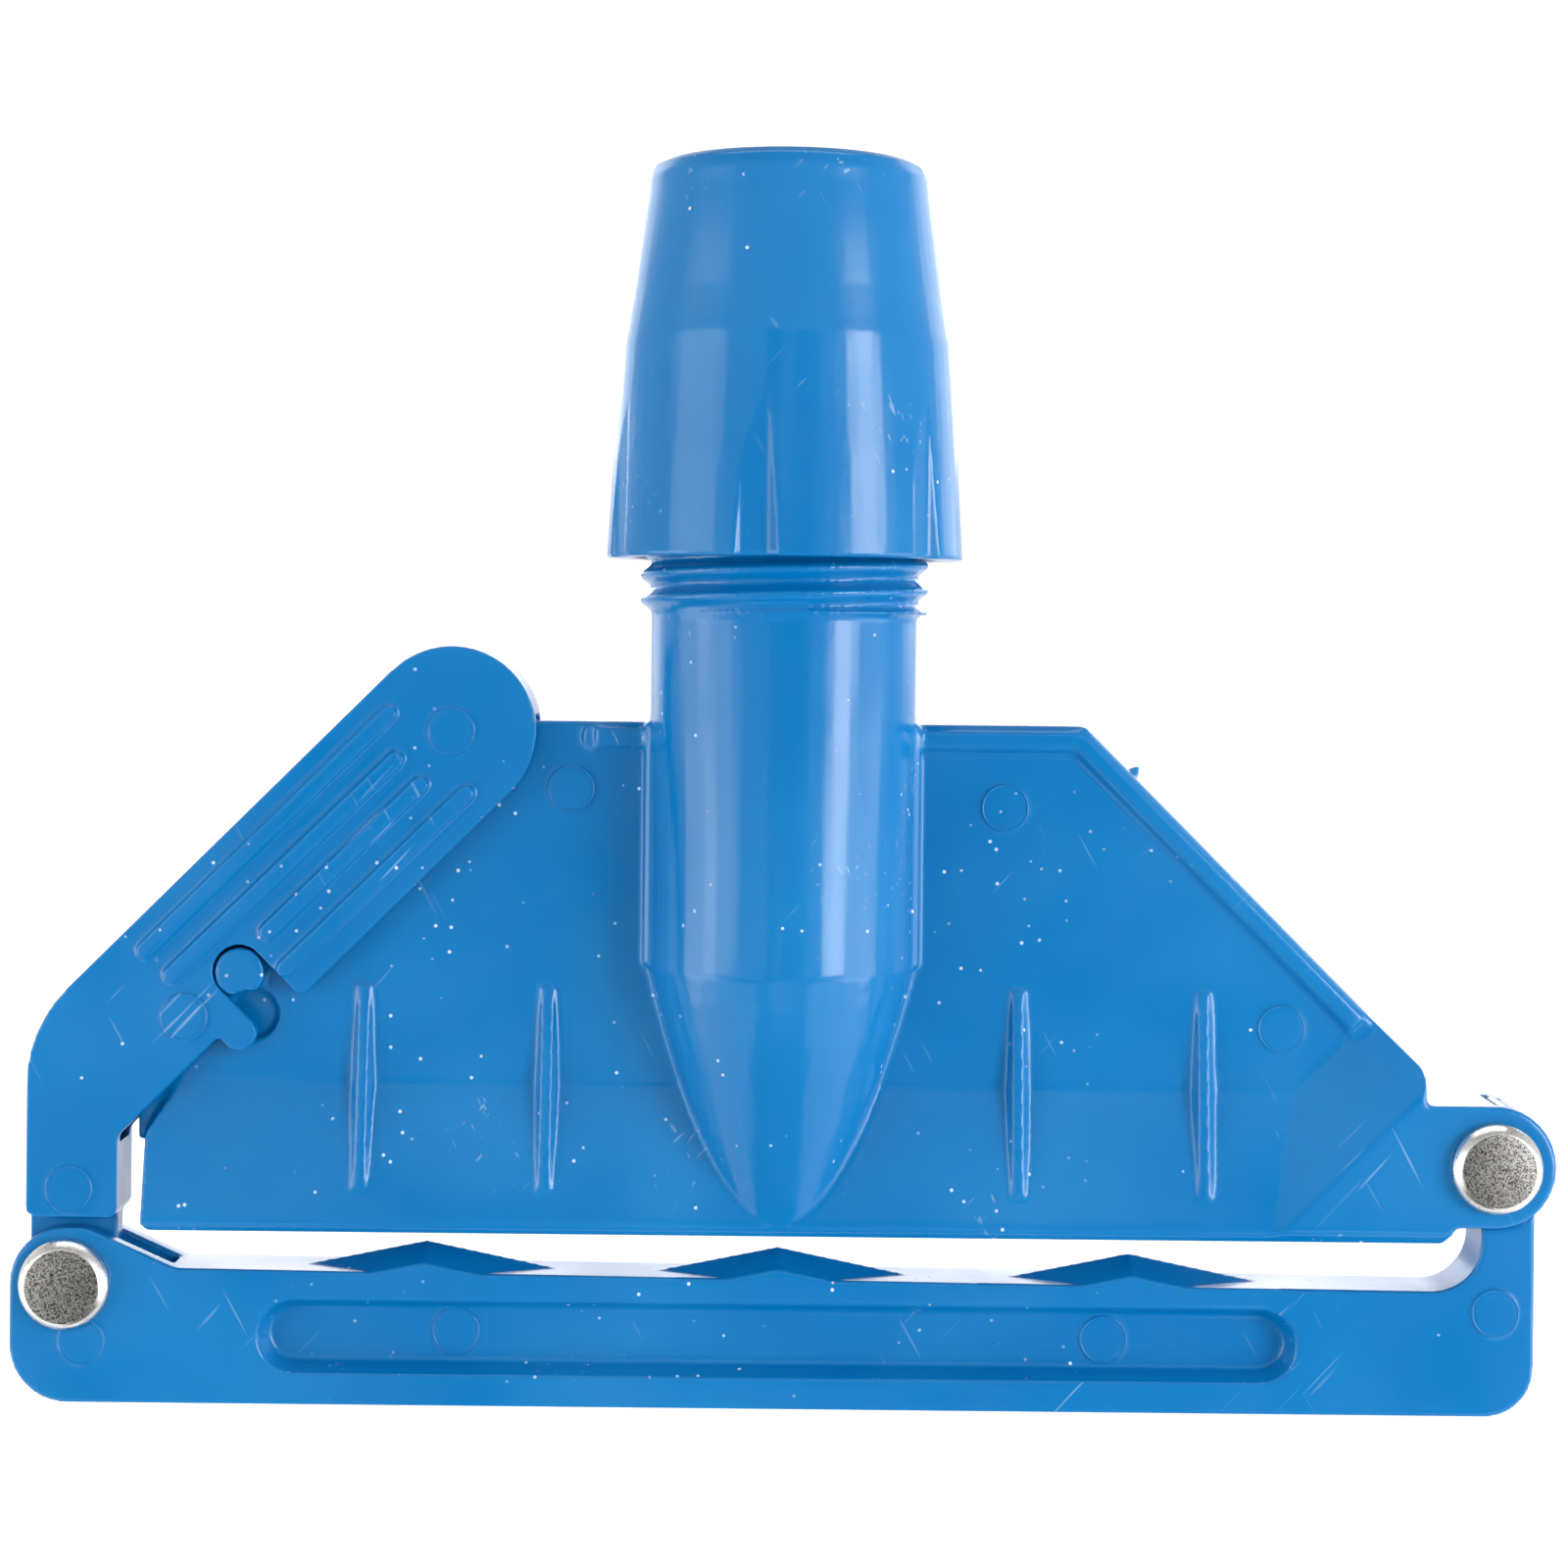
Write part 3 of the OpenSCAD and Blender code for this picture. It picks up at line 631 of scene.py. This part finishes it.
class CLAMP_OT_studio(Operator):
    """Sets the pale floor, the soft lights and the camera"""

    bl_idname = "clamp.studio"
    bl_label = "Studio"

    def execute(self, context):
        studio = settings("clamp_studio")
        scene = context.scene
        scene.view_settings.view_transform = "Standard"
        floor_height = CAD_LOW.z - studio.floor_drop
        self.floor(floor_height)
        world = bpy.data.worlds.new("soft_room")
        world.use_nodes = True
        world.node_tree.nodes["Background"].inputs["Color"].default_value = (1, 1, 1, 1)
        world.node_tree.nodes["Background"].inputs["Strength"].default_value = studio.room_light
        scene.world = world
        middle = (CAD_LOW + CAD_HIGH) / 2
        for name, box in SOFT_BOXES.items():
            soft_box(name, WALL_AIM if name == "wall_wash" else middle, *box)
        self.dark_card("wall_card", *WALL_CARD, 90)
        for name, (place, width, length) in FLOOR_CARDS.items():
            self.dark_card(name, (*place, floor_height + CARD_LIFT), width, length, 0)
        lens = bpy.data.cameras.new("camera")
        lens.lens = studio.lens
        lens.sensor_width = 36
        lens.shift_y = studio.rise
        lens.clip_start = 0.01
        camera = bpy.data.objects.new("camera", lens)
        camera.location = (0, -studio.camera_distance, studio.camera_height)
        camera.rotation_euler = (math.radians(90), studio.roll, 0)
        scene.collection.objects.link(camera)
        scene.camera = camera
        return {"FINISHED"}

    def dark_card(self, name, place, width, length, tilt):
        """A dark card with pale patches that only shows in the gloss."""
        bm = bmesh.new()
        bmesh.ops.create_grid(bm, x_segments=1, y_segments=1, size=0.5)
        bmesh.ops.scale(bm, vec=(width, length, 1), verts=bm.verts)
        bmesh.ops.rotate(bm, matrix=Matrix.Rotation(math.radians(tilt), 3, "X"), verts=bm.verts)
        bmesh.ops.translate(bm, vec=place, verts=bm.verts)
        mesh = bpy.data.meshes.new(name)
        bm.to_mesh(mesh)
        bm.free()
        card = link(name, mesh)
        card.visible_camera = card.visible_shadow = card.visible_diffuse = False
        bench = NodeBench(name + "_felt")
        patches = bench.ramp(bench.noise(4.5, 1), 0.52, 0.6)
        tone = bench.mix(patches, (0.03, 0.03, 0.03, 1), (0.9, 0.9, 0.9, 1))
        mesh.materials.append(bench.finish(Base_Color=tone, Roughness=0.9))

    def floor(self, height, bend_steps=12, sides=96):
        """A wide floor that curves up into a wall all round."""
        studio = settings("clamp_studio")
        flat, bend = studio.floor_radius, studio.floor_bend
        profile = [(0, 0), (flat, 0)]
        for i in range(1, bend_steps + 1):
            turn = math.pi / 2 * i / bend_steps
            profile.append((flat + bend * math.sin(turn), bend * (1 - math.cos(turn))))
        profile.append((flat + bend, bend + studio.wall_height))
        bm = bmesh.new()
        rings = []
        for radius, rise in profile:
            count = sides if radius else 1
            rings.append([bm.verts.new((
                radius * math.cos(2 * math.pi * i / sides), radius * math.sin(2 * math.pi * i / sides),
                height + rise)) for i in range(count)])
        for near, far in zip(rings, rings[1:]):
            for i in range(sides):
                j = (i + 1) % sides
                corners = [near[i % len(near)], far[i], far[j], near[j % len(near)]]
                bm.faces.new(dict.fromkeys(corners))
        mesh = bpy.data.meshes.new("floor")
        bm.to_mesh(mesh)
        bm.free()
        mesh.shade_smooth()
        floor = link("floor", mesh)
        bench = NodeBench("pale_floor")
        tone = bench.mix(bench.noise(3, 2), (0.95, 0.95, 0.95, 1), (0.97, 0.97, 0.97, 1))
        mesh.materials.append(bench.finish(Base_Color=tone, Roughness=0.8))


class CLAMP_PT_panel(Panel):
    """Lists the clamp's settings and operators"""

    bl_label = "Mop Clamp"
    bl_idname = "CLAMP_PT_panel"
    bl_space_type = "VIEW_3D"
    bl_region_type = "UI"
    bl_category = "Mop Clamp"

    def draw(self, context):
        for name in GROUPS:
            box = self.layout.box()
            group = getattr(context.scene, name)
            for key in group.bl_rna.properties.keys():
                if key not in ("rna_type", "name"):
                    box.prop(group, key)
        for step in STEPS:
            self.layout.operator(step.bl_idname)


GROUPS = {
    "clamp_mould": MouldSettings,
    "clamp_marks": MarkSettings,
    "clamp_plastic": PlasticSettings,
    "clamp_rivets": RivetSettings,
    "clamp_stud": StudSettings,
    "clamp_studio": StudioSettings,
}
STEPS = (
    CLAMP_OT_studio,
    CLAMP_OT_holder,
    CLAMP_OT_collar,
    CLAMP_OT_sleeve,
    CLAMP_OT_bar,
    CLAMP_OT_lever,
    CLAMP_OT_rivets,
)


def register():
    for name, group in GROUPS.items():
        bpy.utils.register_class(group)
        setattr(bpy.types.Scene, name, PointerProperty(type=group))
    for step in (*STEPS, CLAMP_PT_panel):
        bpy.utils.register_class(step)


def unregister():
    for step in reversed((*STEPS, CLAMP_PT_panel)):
        bpy.utils.unregister_class(step)
    for name, group in GROUPS.items():
        delattr(bpy.types.Scene, name)
        bpy.utils.unregister_class(group)


def main():
    register()
    for step in STEPS:
        getattr(bpy.ops.clamp, step.bl_idname.split(".")[1])()


if __name__ == "__main__":
    main()
